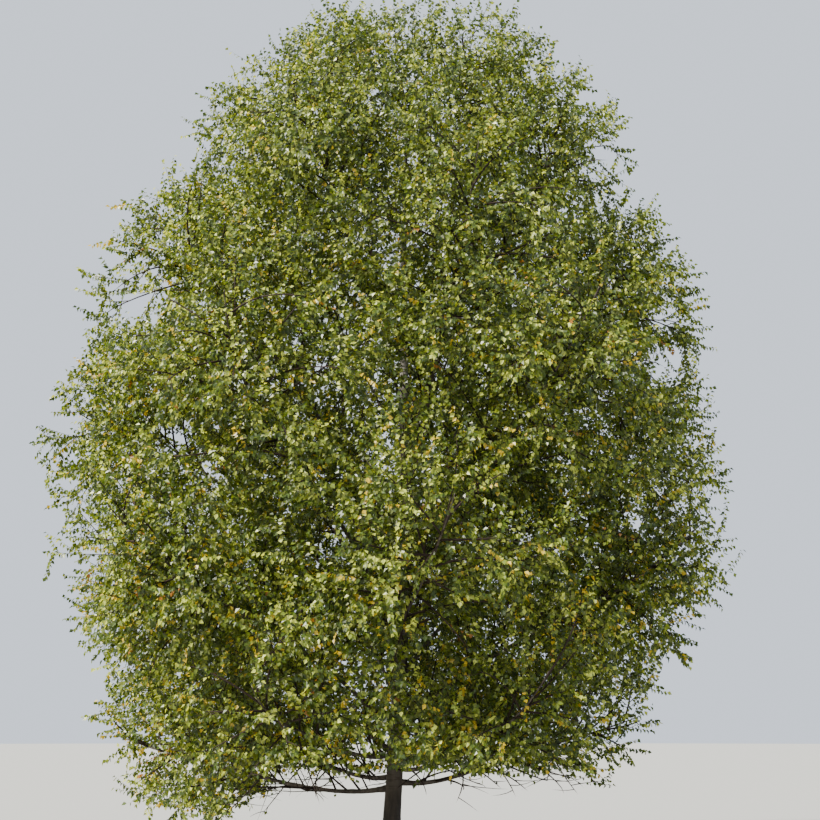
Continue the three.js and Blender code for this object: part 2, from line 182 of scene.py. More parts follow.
# The twigs
TWIG_REACH = (0.3, 1.9, 0.075)  # least, most and step
TWIG_SPREAD = (0.7, 1.3)  # least and most angle to the carrier, in radians
TWIG_ROOTS = (0.06, 0.82)  # where the first and the last start, as shares of the carrier
TWIGS_IN_SOURCE = 6
TWIG_TRIES = 14
TWIG_ROOT_RADIUS = 0.013
TWIG_BEND = 0.15  # how far a twig's middle is swung along its carrier, of its length
TWIG_WANDER = 0.34  # and the range of a further swing on each axis
TWIG_UNDER = 0.75  # how far under the crown's underside the twigs past the source's may end
TWIG_STEPS = 8
TWIG_SIDES = 4
TWIG_SLACK = (-0.22, 0.32)  # how far out of the crown's face the growth on each may stand
SLACK_POWER = 1.5  # over 1, so that few stand far out
TIP_ROOM = 0.19  # twigs and stems end this far inside the crown
TIP_RADIUS_SHARE = 0.35
LEAFY_BOUGH = 0.6  # the outer share of a bough that carries twigs
LIMB_MARGIN = 0.014
OWN_LIMB = 0.12  # how much of the limb that a twig grows from may be close to it
BEAD_SPACING = 0.05
NEAR_ROOM = 0.3  # beads farther off than this and a twig's longest reach are passed over

# The side limbs of twigs
SIDE_LIMB_SIDES = 3
BUD_PLACES = (0.1, 0.9)  # where a bud may be in its own stretch of the parent
BUD_TURN = 0.5  # how far it may be turned off the golden angle, in radians
SHOOT_PARENT_POINTS = 5  # on each limb that shoots grow from
BOX_SLACK = 0.06  # how far a side limb may end outside the solids' box
SIDE_UNDER = 0.7  # how far under the crown's underside side limbs may end
REACH_SHARES = (0.4, 0.55, 0.7, 0.85, 1.0)  # the lengths that are tried, of the one that is drawn
THINNEST = 0.6  # the thickness of the shortest, of the longest
BARE_DEPTH = (0.3, 0.75)  # from the crown's face inwards: where limbs thin out, and where few are left
CROWD_CELL = 0.36  # the side of a cell of space in which side limbs are counted

# The leaves
LEAFY_SHOOT = 0.95  # the outer share of a shoot that carries leaves
LEAF_TURN = 0.7  # how far a leaf may be turned off its side of the shoot, in radians
LEAF_AHEAD = 0.45  # how far it follows the shoot
TIP_LEAF_AHEAD = 1.2  # and how far the leaf at the tip does
LEAF_ASIDE = 0.8  # how far it points to its side
LEAF_WANDER = 0.35  # to any side
LEAF_DROOP = 0.9  # and down
LEAF_FACING_UP = 0.45
LEAF_FACING_OUT = 0.7
LEAF_FACING_WANDER = 0.9
LEAF_SIZES = (0.75, 1.15)  # least and most, of the size in the settings
LEAF_OUTLINE = ((0.0, 0.0), (0.5, 0.4), (0.0, 1.0), (-0.5, 0.4))  # across and along
LEAF_ATTRIBUTES = ("leaf_heading", "leaf_face")
BARE_IN_ARCH = 0.98  # the share of leaves that is missing where the arch is open
# The palest green, light, is partly a paler leaf tone and partly painted highlight: it is made pale to
# paint the glints of sunlit gloss
GREENS = ("deep", "green", "olive", "fresh", "light")
GREEN_BOUNDS = (0.3, 0.45, 0.59, 0.76)  # where one green gives way to the next, from 0 to 1
AUTUMN = ("yellow", "rust")
SPRAY_SAY = 0.4  # how far a spray's own lean decides each leaf's green
TURNING_SPRAYS = (0.0, 0.14)  # the share of sprays with autumn leaves, at the top and at the foot
TURNED_LEAVES = 0.4  # the share of leaves that have turned on such a spray
RUST_SHARE = 0.08  # the share of sprays whose leaves turn rusty and not yellow
GLOW_TONE = (2.2, 2.0, 0.9)  # how light through a leaf differs from its face, by channel

# The stage
CAMERA_PLACE = np.array((0.25, -15.0, 1.6))
CAMERA_TILT = math.radians(14.36)  # above level
CAMERA_LENS = 54.9  # millimetres, as is the sensor
CAMERA_SENSOR = 36.0
VIEW_DISTANCE = 1000.0
SUN_FROM = (-0.62, -0.5, 0.75)
SUN_TONE = (1.0, 0.95, 0.86)
SUN_STRENGTH = 14.0
SUN_SOFTNESS = math.radians(9)
SKY_STRENGTH = 1.2
FLOOR_RADIUS = 150.0
FLOOR_SIDES = 96

TIERS = (
    dict(name="skirt", count=6, turn=8, height=1.45, reach=0.8, lift=0.7, leafy=0.9,
         bough=dict(tip=0.62, drop=0.15, rise=0.2, leaving=-0.24, ending=0.22)),
    dict(name="lower", count=6, turn=38, height=3.15, reach=0.76,
         bough=dict(tip=0.62, drop=0.25, rise=0.6, leaving=0.75, ending=0.42)),
    dict(name="middle", count=6, turn=3, height=4.95, reach=0.71,
         bough=dict(tip=0.6, drop=0.3, rise=0.95, leaving=1.3, ending=0.7)),
    dict(name="upper", count=5, turn=-6, height=6.75, reach=0.66,
         bough=dict(tip=0.58, drop=0.4, rise=1.35, leaving=1.75, ending=1.0)),
    dict(name="shoulder", count=4, turn=62, height=8.25, reach=0.6,
         bough=dict(tip=0.55, drop=0.45, rise=1.7, leaving=2.1, ending=1.4)),
    dict(name="crest", count=3, turn=75, height=9.35, reach=0.56, rise=1.2),
    dict(name="top", count=1, turn=0, height=9.9, reach=0),
)


# Chance, directions and paths


def chance(a, b=0, c=0, d=0):
    """A repeatable number from 0 to 1 for a place in the tree, or an array of them."""
    wave = np.sin(a * 12.9898 + b * 78.233 + c * 37.719 + d * 9.151 + SEED) * 43758.5453
    return wave - np.floor(wave)


def between(low, high, *place):
    return low + (high - low) * chance(*place)


def unit(vectors):
    return vectors / np.linalg.norm(vectors, axis=-1, keepdims=True)


def aside(headings, turn, upright=NEARLY_UP):
    """Directions square to the headings, turned round them."""
    side = unit(np.cross(headings, upright))
    over = np.cross(side, headings)
    return np.cos(turn)[:, None] * side + np.sin(turn)[:, None] * over


def distances_along(path):
    return np.append(0, np.cumsum(np.linalg.norm(np.diff(path, axis=0), axis=1)))


def lengths_of(paths):
    return np.linalg.norm(np.diff(paths, axis=1), axis=2).sum(1)


def bezier(controls, count):
    """count + 1 points evenly spaced along a Bezier curve."""
    controls = np.array(controls)
    t = np.linspace(0, 1, CURVE_SAMPLES)[:, None]
    degree = len(controls) - 1
    points = sum(
        math.comb(degree, i) * t**i * (1 - t) ** (degree - i) * control
        for i, control in enumerate(controls)
    )
    return with_steps(points, count)


def with_steps(path, count):
    """count + 1 points evenly spaced along a path."""
    along = distances_along(path)
    wanted = np.linspace(0, along[-1], count + 1)
    return np.stack([np.interp(wanted, along, path[:, axis]) for axis in range(3)], 1)


def at(paths, share):
    """The point at its share of each evenly spaced path, and the way that the path heads there."""
    steps = paths.shape[1] - 1
    place = np.clip(share, 0, 1) * steps
    low = np.minimum(place.astype(int), steps - 1)
    rows = np.arange(len(paths))
    part = (place - low)[:, None]
    start, end = paths[rows, low], paths[rows, low + 1]
    return start * (1 - part) + end * part, unit(end - start)


def noise_at(places, *scale):
    """Smooth noise from -1 to 1 at each place, after each axis is multiplied by its scale."""
    scaled = places.reshape(-1, 3) * scale
    values = [noise.noise(Vector(place)) for place in scaled]
    return np.array(values).reshape(places.shape[:-1])


# The crown's and the trunk's shape


def crown_middle(z):
    return CROWN_LEAN * (z - LEAN_PIVOT)


def crown_radius(z):
    up = np.clip((z - WIDEST_HEIGHT) / (CROWN_TOP - WIDEST_HEIGHT), 0, 1)
    down = np.clip((WIDEST_HEIGHT - z) / (WIDEST_HEIGHT - CROWN_FOOT), 0, 1)
    return CROWN_RADIUS * np.sqrt(1 - up**DOME_POWER) * (1 - (1 - FOOT_SHARE) * down**SKIRT_POWER)


def underside_height(x):
    """The least height of foliage at a distance to the side."""
    top, foot = ARCH_HALF_WIDTH
    fall = np.clip((np.abs(x - ARCH_MIDDLE) - top) / (foot - top), 0, 1)
    return ARCH_HEIGHT - (ARCH_HEIGHT - LOWEST_LEAF) * fall


def openness(points):
    """How far points are in the open arch under the crown, from 0 over it to 1."""
    start, depth = ARCH_FRINGE
    return np.clip((underside_height(points[:, 0]) - start - points[:, 2]) / depth, 0, 1)


def seen_in(circles, points):
    """How far points are in circles at the trunk's distance, seen from the camera, from 0 to 1."""
    offset = points - CAMERA_PLACE
    seen = CAMERA_PLACE - offset * (CAMERA_PLACE[1] / offset[:, 1:2])
    depths = [
        1 + GAP_EDGE - np.hypot(seen[:, 0] - x, seen[:, 2] - z) / radius
        for x, z, radius in circles
    ]
    return np.clip(np.max(depths, 0), 0, 1)


def in_hollow(points):
    """How far points are in a hollow of the crown's front, from 0 to 1."""
    back, front = HOLLOW_DEPTH
    return seen_in(HOLLOWS, points) * np.clip((-points[:, 1] - back) / (front - back), 0, 1)


def depth_share(points):
    """How deep in the crown each point is, from 0 in its outer shell to 1 at its bare heart."""
    x, y, z = points.T
    shell, heart = BARE_DEPTH
    depth = 1 - np.hypot(x - crown_middle(z), y) / np.maximum(crown_radius(z), THINNEST_CROWN)
    return np.clip((depth - shell) / (heart - shell), 0, 1)


def trunk_axis(z):
    z = np.asarray(z, float)
    up = z / TRUNK_TIP
    x = TRUNK_LEAN * z + TRUNK_SWAY * np.sin(up * TURN * SIDE_SWAY_TURNS)
    return np.stack([x, TRUNK_SWAY * (1 - np.cos(up * TURN * DEEP_SWAY_TURNS)), z], -1)


def trunk_radius(z, angle=0.0):
    taper = np.maximum(1 - z / TRUNK_TIP, 0) ** TRUNK_TAPER
    flare = FLARE_RADIUS * np.exp(-z / FLARE_HEIGHT) * (1 + FLARE_RIPPLE * np.cos(FLARE_LOBES * angle))
    return TRUNK_TIP_RADIUS + (TRUNK_RADIUS - TRUNK_TIP_RADIUS) * taper + flare


# Growth: the masses and their spaces


class Mass:
    """One mass of foliage: where it is, and the bough that carries it, if it has one."""

    def __init__(self, tier, level, k):
        self.tier, self.level, self.k, self.key = tier, level, k, level * 10 + k
        self.name = f"{tier['name']}_{k + 1}"
        swing = between(-AZIMUTH_WANDER, AZIMUTH_WANDER, level, k, 1)
        azimuth = math.radians(tier["turn"] + k * 360 / tier["count"] + swing)
        lift = tier.get("lift", 0) * (1 - abs(math.cos(azimuth)))
        height = tier["height"] + lift + between(-HEIGHT_WANDER, HEIGHT_WANDER, level, k, 2)
        self.outward = np.array((math.cos(azimuth), math.sin(azimuth), 0.0))
        self.middle = self.outward * tier["reach"] * crown_radius(height)
        self.middle[0] += crown_middle(height)
        self.middle[2] = height
        self.bough = None
        if "bough" in tier:
            self.bough = self.bough_path(**tier["bough"])
            self.root_radius = BOUGH_THICKNESS * trunk_radius(self.bough[0, 2])
            self.tip_radius = self.root_radius * BOUGH_TIP_SHARE

    def bough_path(self, tip, drop, rise, leaving, ending):
        """The bough's axis, from the trunk's axis to the mass."""
        reach = tip * crown_radius(self.middle[2])
        end = self.outward * reach + UP * (self.middle[2] - drop)
        end[0] += crown_middle(self.middle[2])
        shift = between(-ROOT_WANDER, ROOT_WANDER, self.level, self.k, 7)
        root = trunk_axis(end[2] - rise * reach + shift)
        run = math.hypot(end[0] - root[0], end[1] - root[1]) / 3  # between two control points
        across = np.cross(UP, self.outward) * run * 3 * BOUGH_SWAY
        first = root + self.outward * run + UP * run * leaving
        first = first + across * between(-1, 1, self.level, self.k, 3)
        second = end - self.outward * run - UP * run * ending
        second = second + across * between(-1, 1, self.level, self.k, 4)
        return bezier((root, first, second, end), BOUGH_STEPS)

    def whole_limb(self, stem):
        """The axis and radii of the bough and its stem together, or of the stem alone."""
        if self.bough is None:
            return stem, np.linspace(TRUNK_TIP_RADIUS, STEM_END_RADIUS, len(stem))
        share = np.linspace(0, 1, len(self.bough)) ** BOUGH_TAPER
        bough_radii = self.root_radius + (self.tip_radius - self.root_radius) * share
        stem_radii = np.linspace(self.tip_radius, STEM_END_RADIUS, len(stem))
        return np.concatenate([self.bough, stem[1:]]), np.concatenate([bough_radii, stem_radii[1:]])

    def leafy_limb(self, stem):
        """The outer part of the bough with the stem, which carry twigs."""
        if self.bough is None:
            return stem
        leafy = round(self.tier.get("leafy", LEAFY_BOUGH) * len(self.bough))
        return with_steps(np.concatenate([self.bough[-leafy:], stem[1:]]), BOUGH_STEPS)


class Spaces:
    """The space that each mass keeps to."""

    def __init__(self, masses):
        self.middles = np.array([mass.middle for mass in masses])
        self.facing = np.array([mass.outward if mass.tier["reach"] > 0 else UP for mass in masses])
        self.apart = np.linalg.norm(self.middles[:, None] - self.middles[None], axis=2)
        np.fill_diagonal(self.apart, 1.0)

    def hold(self, points, owners, room=0.0, overlap=0.0, slack=0.0, under=0.0):
        """Which points lie in their owner's space: nearer its middle than any other, inside its
        lobe of the crown and over its underside. room is kept to the crown's bounds and half of
        it to neighbours. overlap, slack and under let a point pass a neighbour's bound, the
        crown's or its underside."""
        offset = points - self.middles[owners]
        facing = self.facing[owners]
        off_facing = offset - facing * (offset * facing).sum(1)[:, None]
        lobe = LOBE_SWELL - LOBE_DROP * np.minimum((off_facing**2).sum(1) / LOBE_WIDTH**2, 1)
        x, y, z = points.T
        inside = np.hypot(x - crown_middle(z), y) < crown_radius(z) * lobe - room + slack
        inside &= z > np.maximum(underside_height(x) - under, LOWEST_LEAF) + room
        inside &= z < CROWN_TOP - room + slack
        far = ((points[:, None] - self.middles[None]) ** 2).sum(2)
        rows = np.arange(len(points))
        nearer = (far - far[rows, owners][:, None]) / (2 * self.apart[owners])
        nearer[rows, owners] = np.inf
        return inside & (nearer.min(1) > MASS_MARGIN + room / 2 - overlap)


# Growth: stems and twigs


class Growth:
    """Grows the stems and twigs of the masses."""

    def __init__(self, masses):
        self.masses = masses
        self.spaces = Spaces(masses)
        self.beads, self.bead_radii = limb_beads(masses)

    def stem(self, index):
        """The stem of a mass, from its bough's tip or the trunk to near the crown's outer face."""
        mass = self.masses[index]
        if mass.bough is not None:
            heading = unit(mass.bough[-1] - mass.bough[-2])
            start = mass.bough[-1]
        elif mass.tier["reach"] > 0:
            rise = mass.tier["rise"]
            heading = unit(mass.outward + UP * rise)
            start = trunk_axis(mass.middle[2] - rise * mass.tier["reach"] * crown_radius(mass.middle[2]))
        else:
            heading = UP
            start = trunk_axis(TRUNK_TIP)
        side, depth = (between(-1, 1, mass.level, mass.k, which) for which in (5, 6))
        turned = unit(heading + STEM_BEND * np.array((side, depth, STEM_RISE)))
        least, most, step = STEM_REACH
        reaches = np.arange(most, least, -step)
        ends = start + turned * reaches[:, None]
        fits = self.spaces.hold(ends, np.full(len(ends), index), TIP_ROOM)
        reach = reaches[np.argmax(fits)] if fits.any() else least
        return bezier((start, start + heading * reach / 2, start + turned * reach), STEM_STEPS)

    def twigs(self, index, stem, count):
        """The twigs of a mass. The source's come first, on the stem, and the rest are spread over
        the stem and the outer part of its bough."""
        mass = self.masses[index]
        first, last = TWIG_ROOTS
        leafy = mass.leafy_limb(stem)
        ends, twigs = [stem[-1]], []
        for n in range(count):
            if n < TWIGS_IN_SOURCE:
                carrier, share = stem, first + (last - first) * n / (TWIGS_IN_SOURCE - 1)
            else:
                carrier, share = leafy, n * GOLDEN_SHARE % 1 * last
            root, heading = (value[0] for value in at(carrier[None], np.array([share])))
            tip = self.farthest_tip(index, n, root, heading, ends)
            if tip is None:
                continue
            bend = heading * TWIG_BEND + (chance(mass.key, n, np.arange(1, 4), 13) - 0.5) * TWIG_WANDER
            middle = (root + tip) / 2 + bend * np.linalg.norm(tip - root)
            ends.append(tip)
            twigs.append(bezier((root, middle, tip), TWIG_STEPS))
        if not twigs:
            raise RuntimeError(f"no twig fits in the mass {mass.name}")
        return np.array(twigs)

    def farthest_tip(self, index, n, root, heading, ends):
        """Of several seeded twigs from one root, each as long as its space allows, the tip that
        lies farthest from the tips before it, or none."""
        least, most, step = TWIG_REACH
        reaches = np.arange(most, least, -step)
        tries = np.arange(TWIG_TRIES)
        key = self.masses[index].key
        turn = (tries + chance(key, n, tries, 11)) / TWIG_TRIES * TURN
        spread = between(*TWIG_SPREAD, key, n, tries, 12)[:, None]
        directions = np.cos(spread) * heading + np.sin(spread) * aside(heading, turn, UP)
        tips = root + directions[:, None] * reaches[None, :, None]
        under = 0 if n < TWIGS_IN_SOURCE else TWIG_UNDER
        fits = self.fit(root, tips.reshape(-1, 3), index, under).reshape(tips.shape[:2])
        tips = tips[tries, np.argmax(fits, 1)]
        apart = np.min([np.linalg.norm(tips - end, axis=1) for end in ends], 0)
        apart[~fits.any(1)] = 0
        return tips[np.argmax(apart)] if apart.max() > 0 else None

    def fit(self, root, tips, index, under):
        """Which twigs from one root end in the space and pass no limb too closely."""
        away = np.linalg.norm(self.beads - root, axis=1)
        near = (away > self.bead_radii + OWN_LIMB) & (away < TWIG_REACH[1] + NEAR_ROOM)
        places, radii = self.beads[near], self.bead_radii[near]
        line = tips - root
        along = ((places[None] - root) * line[:, None]).sum(2) / (line**2).sum(1)[:, None]
        nearest = root + line[:, None] * np.clip(along, 0, 1)[:, :, None]
        gap = np.linalg.norm(nearest - places[None], axis=2) - radii
        clear = gap.min(1) > TWIG_ROOT_RADIUS + LIMB_MARGIN
        return clear & self.spaces.hold(tips, np.full(len(tips), index), TIP_ROOM, under=under)


def limb_beads(masses):
    """Places and radii of beads along the trunk and boughs, which twigs keep clear of."""
    z = np.arange(0, TRUNK_TIP, BEAD_SPACING)
    places, radii = [trunk_axis(z)], [trunk_radius(z)]
    for mass in masses:
        if mass.bough is None:
            continue
        steps = math.ceil(distances_along(mass.bough)[-1] / BEAD_SPACING)
        places.append(with_steps(mass.bough, steps))
        radii.append(np.linspace(mass.root_radius, mass.tip_radius, steps + 1))
    return np.concatenate(places), np.concatenate(radii) + BEAD_SPACING / 4


# Growth: finer limbs, all of one kind at a time


class Limbs(NamedTuple):
    """Limbs of one kind: evenly spaced points along each, radii there, and the owning mass."""

    paths: np.ndarray
    radii: np.ndarray
    owners: np.ndarray
    slacks: np.ndarray  # how far what grows on each may stand out of the crown, or falls short of it


class Buds(NamedTuple):
    """Side limbs before they grow."""

    roots: np.ndarray
    directions: np.ndarray
    reach: np.ndarray
    sway: np.ndarray  # how far the tip is bent aside, of the length
    owners: np.ndarray
    slacks: np.ndarray
    lumps: np.ndarray  # how far the crown's lumps stand out there, from -1 to 1
    vigour: np.ndarray  # from 0 to 1: the least are missing first where limbs are sparse
    rank: np.ndarray  # from 0 to 1: the first stay where limbs are crowded


class Rule(NamedTuple):
    """How side limbs leave their parents."""

    order: int
    spacing: float  # between roots along the parent
    first: float  # where they start, as a share of the parent's length
    spread: tuple  # least and most angle to the parent, in radians
    reach: tuple  # least and most length
    shortest: float
    taper: float  # how much shorter the last ones are than the first
    lift: float  # how far the direction is turned upwards
    curl: float  # how far the tip curls upwards, of the length
    sway: float  # how far it swings to any side, of the length
    overlap: float  # how far the tip may pass into a neighbour's space
    feather: float  # how much farther out its tip may be than its parent's slack
    steps: int
    radius: float
    bareness: float  # the share that is missing deep in the crown
    open_share: float  # the share that is missing in the open arch
    gap_share: float  # the share that is missing in the gaps
    crowd: float  # how many a cell of space holds


BRANCHLETS = Rule(order=1, spacing=0.1, first=0.1, spread=(0.55, 1.15), reach=(0.5, 1.0), shortest=0.22,
                  taper=0.45, lift=0.12, curl=0.1, sway=0.28, overlap=0.14, feather=0.0, steps=3,
                  radius=0.0075, bareness=0.3, open_share=0.2, gap_share=0.6, crowd=1.3)
SHOOTS = Rule(order=2, spacing=0.05, first=0.12, spread=(0.45, 1.2), reach=(0.24, 0.46), shortest=0.12,
              taper=0.25, lift=0.1, curl=0.0, sway=0.1, overlap=0.2, feather=0.12, steps=1,
              radius=0.0028, bareness=0.9, open_share=1.0, gap_share=0.9, crowd=5.4)


def buds_along(parents, rule):
    """Buds at an even spacing along their parents, turning by the golden angle."""
    lengths = lengths_of(parents.paths)
    counts = np.floor(lengths * (1 - rule.first) / rule.spacing).astype(int)
    parent, place = np.nonzero(np.arange(counts.max())[None] < counts[:, None])

    def roll(low, high, which):
        return between(low, high, parent, place, rule.order, which)

    share = rule.first + (place + roll(*BUD_PLACES, 1)) * rule.spacing / lengths[parent]
    roots, heading = at(parents.paths[parent], share)
    turn = place * GOLDEN_ANGLE + parent + roll(-BUD_TURN, BUD_TURN, 2)
    spread = roll(*rule.spread, 3)[:, None]
    directions = np.cos(spread) * heading + np.sin(spread) * aside(heading, turn) + UP * rule.lift
    reach = roll(*rule.reach, 4) * (1 - rule.taper * share)
    low = openness(roots + directions * reach[:, None])
    directions[:, 2] *= 1 - ARCH_FLATNESS * low
    sway = np.stack([roll(-1, 1, which) for which in (6, 7, 8)], 1) * rule.sway
    sway[:, 2] += rule.curl - ARCH_DROOP * low
    slacks = parents.slacks[parent] + rule.feather
    lumps = noise_at(roots, LUMP_SCALE, LUMP_SCALE, LUMP_SCALE)
    return Buds(roots, unit(directions), reach, sway, parents.owners[parent], slacks, lumps,
                roll(0, 1, 9), roll(0, 1, 10))


def chosen(rows, kept):
    """The same kind of rows, with only those that are kept."""
    return type(rows)(*(part[kept] for part in rows))


def grow_side_limbs(parents, rule, spaces):
    """Side limbs from the buds that have the room and aren't missing or crowded out."""
    buds = buds_along(parents, rule)
    buds = buds._replace(reach=fitted_reach(buds, rule.overlap, spaces))
    middles = buds.roots + buds.directions * buds.reach[:, None] / 2
    fits = (buds.reach > rule.shortest) & (buds.vigour > missing_share(buds, middles, rule))
    kept = np.flatnonzero(fits)
    most = rule.crowd * (1 + LUMP_SAY * buds.lumps[kept])
    buds = chosen(buds, kept[uncrowded(middles[kept], most, buds.rank[kept])])
    along = np.linspace(0, 1, rule.steps + 1)
    straight = buds.directions[:, None] * along[None, :, None]
    bent = buds.sway[:, None] * (along**2)[None, :, None]
    paths = buds.roots[:, None] + (straight + bent) * buds.reach[:, None, None]
    thickness = rule.radius * (THINNEST + (1 - THINNEST) * buds.reach / rule.reach[1])
    radii = thickness[:, None] * (1 - (1 - TIP_RADIUS_SHARE) * along)[None]
    return Limbs(paths, radii, buds.owners, buds.slacks)


def fitted_reach(buds, overlap, spaces):
    """The longest of a few shares of each reach that ends in the space, or 0."""
    low, high = (np.array(corner) for corner in CAD_BOX)
    slack = buds.slacks + buds.lumps * LUMP_SWELL
    fitted = np.zeros(len(buds.reach))
    for share in REACH_SHARES:
        ends = buds.roots + buds.directions * (buds.reach * share)[:, None]
        inside = spaces.hold(ends, buds.owners, 0.0, overlap, slack, SIDE_UNDER)
        inside &= ((ends > low - BOX_SLACK) & (ends < high + BOX_SLACK)).all(1)
        fitted = np.where(inside, buds.reach * share, fitted)
    return fitted


def missing_share(buds, middles, rule):
    """The chance that each side limb is missing."""
    deep = rule.bareness * depth_share(buds.roots)
    low = rule.open_share * openness(buds.roots)
    gap = rule.gap_share * seen_in(GAPS, middles)
    hollow = HOLLOW_SHARE * in_hollow(middles)
    return np.max((deep, low, gap, hollow), 0)


def uncrowded(points, most, rank):
    """Which points stay, so that a cell of space holds about its most at the end."""
    cells = np.floor(points / CROWD_CELL).astype(int)
    _, cell, counts = np.unique(cells, axis=0, return_inverse=True, return_counts=True)
    return rank < most / counts[cell.ravel()]


def as_twigs(paths, index):
    """Limbs of a twig's thickness in one mass, each with its own slack."""
    radii = TWIG_ROOT_RADIUS * (1 - (1 - TIP_RADIUS_SHARE) * np.linspace(0, 1, paths.shape[1]))
    least, most = TWIG_SLACK
    slacks = least + (most - least) * chance(np.arange(len(paths)), index, 41) ** SLACK_POWER
    return Limbs(paths, np.repeat(radii[None], len(paths), 0), np.full(len(paths), index), slacks)


def with_points(limbs, count):
    """The same limbs with another number of points each, so that kinds can be joined. A limb with
    one point too few has one of them twice, and no side limb grows between those two."""
    share = np.linspace(0, limbs.paths.shape[1] - 1, count).round().astype(int)
    return limbs._replace(paths=limbs.paths[:, share], radii=limbs.radii[:, share])


def joined(*groups):
    """Rows of one kind from several groups."""
    return type(groups[0])(*(np.concatenate(parts) for parts in zip(*groups)))


class Tree(NamedTuple):
    """All that grows, before any of it is a mesh."""

    masses: list
    boughs: list  # axis and radii of each bough with its stem
    twigs: Limbs
    branchlets: Limbs
    shoots: Limbs


@functools.cache
def grow_tree(twigs_per_mass):
    """The whole tree, from the laid-out masses to the last shoot."""
    masses = [Mass(tier, level, k) for level, tier in enumerate(TIERS) for k in range(tier["count"])]
    growth = Growth(masses)
    boughs, carriers, twigs = [], [], []
    for index, mass in enumerate(masses):
        stem = growth.stem(index)
        boughs.append(mass.whole_limb(stem))
        twigs.append(as_twigs(growth.twigs(index, stem, twigs_per_mass), index))
        carriers.append(as_twigs(with_steps(stem, TWIG_STEPS)[None], index))
    twigs = joined(*twigs)
    branchlets = grow_side_limbs(joined(twigs, *carriers), BRANCHLETS, growth.spaces)
    parents = joined(*(with_points(limbs, SHOOT_PARENT_POINTS) for limbs in (twigs, branchlets)))
    shoots = grow_side_limbs(parents, SHOOTS, growth.spaces)
    return Tree(masses, boughs, twigs, branchlets, shoots)


# Meshes from arrays


def new_object(name, data):
    """An object in the scene."""
    piece = bpy.data.objects.new(name, data)
    bpy.context.scene.collection.objects.link(piece)
    return piece


def mesh_object(name, corners, triangles, smooth=True):
    """A mesh object from arrays of corners and triangles."""
    mesh = bpy.data.meshes.new(name)
    mesh.vertices.add(len(corners))
    mesh.vertices.foreach_set("co", np.ascontiguousarray(corners, np.float32).ravel())
    mesh.loops.add(triangles.size)
    mesh.loops.foreach_set("vertex_index", np.ascontiguousarray(triangles, np.int32).ravel())
    mesh.polygons.add(len(triangles))
    mesh.polygons.foreach_set("loop_start", np.arange(0, triangles.size, 3, dtype=np.int32))
    mesh.polygons.foreach_set("use_smooth", np.full(len(triangles), smooth))
    mesh.update(calc_edges=True)
    mesh.validate()
    return new_object(name, mesh)


def ring_angles(sides):
    return np.arange(sides) / sides * TURN


def level_ring(sides):
    """The level directions to the corners of a ring."""
    angle = ring_angles(sides)
    return np.stack([np.cos(angle), np.sin(angle), np.zeros(sides)], 1)


def ring_directions(paths, sides):
    """The directions from each path to the corners of a ring square to it at each of its points."""
    tangents = unit(np.gradient(paths, axis=1))
    side = unit(np.cross(unit(paths[:, -1] - paths[:, 0]), NEARLY_UP))[:, None]
    side = unit(side - tangents * (side * tangents).sum(2)[:, :, None])
    over = np.cross(tangents, side)
    angle = ring_angles(sides)[:, None]
    return side[:, :, None] * np.cos(angle) + over[:, :, None] * np.sin(angle)


def ring_walls(rings, sides):
    """The triangles between rings of corners."""
    start = (np.arange(rings - 1) * sides)[:, None] + np.arange(sides)
    turned = (np.arange(rings - 1) * sides)[:, None] + (np.arange(sides) + 1) % sides
    low = np.stack([start, turned, turned + sides], -1).reshape(-1, 3)
    high = np.stack([start, turned + sides, start + sides], -1).reshape(-1, 3)
    return np.concatenate([low, high])


def cone_tubes(limbs, sides):
    """Corners and triangles of tapering tubes, each closed at its root and running to a point."""
    count, rings = limbs.paths.shape[:2]
    rows = limbs.paths[:, :, None] + ring_directions(limbs.paths, sides) * limbs.radii[:, :, None, None]
    corners = np.concatenate([rows[:, :-1].reshape(count, -1, 3), limbs.paths[:, -1:]], 1)
    here, there = np.arange(sides), (np.arange(sides) + 1) % sides
    last = (rings - 2) * sides
    tip = np.stack([last + here, last + there, np.full(sides, last + sides)], -1)
    root = np.stack([np.zeros(sides - 2, int), here[2:], here[1:-1]], -1)
    pattern = np.concatenate([ring_walls(rings - 1, sides), tip, root])
    triangles = pattern[None] + (np.arange(count) * corners.shape[1])[:, None, None]
    return corners.reshape(-1, 3), triangles.reshape(-1, 3)


def capped(rows, axis):
    """Corners and triangles of one limb from its rings of corners, closed at both ends."""
    rings, sides = rows.shape[:2]
    count, top = rings * sides, (rings - 1) * sides
    here, there = np.arange(sides), (np.arange(sides) + 1) % sides
    foot = np.stack([there, here, np.full(sides, count)], -1)
    tip = np.stack([top + here, top + there, np.full(sides, count + 1)], -1)
    corners = np.concatenate([rows.reshape(-1, 3), axis[:1], axis[-1:]])
    return corners, np.concatenate([ring_walls(rings, sides), foot, tip])


def merged(parts):
    """One pair of corners and triangles from several."""
    corners, triangles, offset = [], [], 0
    for part_corners, part_triangles in parts:
        corners.append(part_corners)
        triangles.append(part_triangles + offset)
        offset += len(part_corners)
    return np.concatenate(corners), np.concatenate(triangles)


# The bark's relief


def trunk_mesh(bark_depth):
    """The trunk's corners and triangles: level rings with the root flare and the bark's relief."""
    z = TRUNK_TIP * np.linspace(0, 1, TRUNK_RINGS) ** RING_CROWDING
    outward = level_ring(TRUNK_SIDES)
    axis = trunk_axis(z)
    rows = axis[:, None] + outward * trunk_radius(z[:, None], ring_angles(TRUNK_SIDES))[:, :, None]
    rows = rows + outward * (trunk_relief(rows) * bark_depth)[:, :, None]
    return capped(rows, axis)


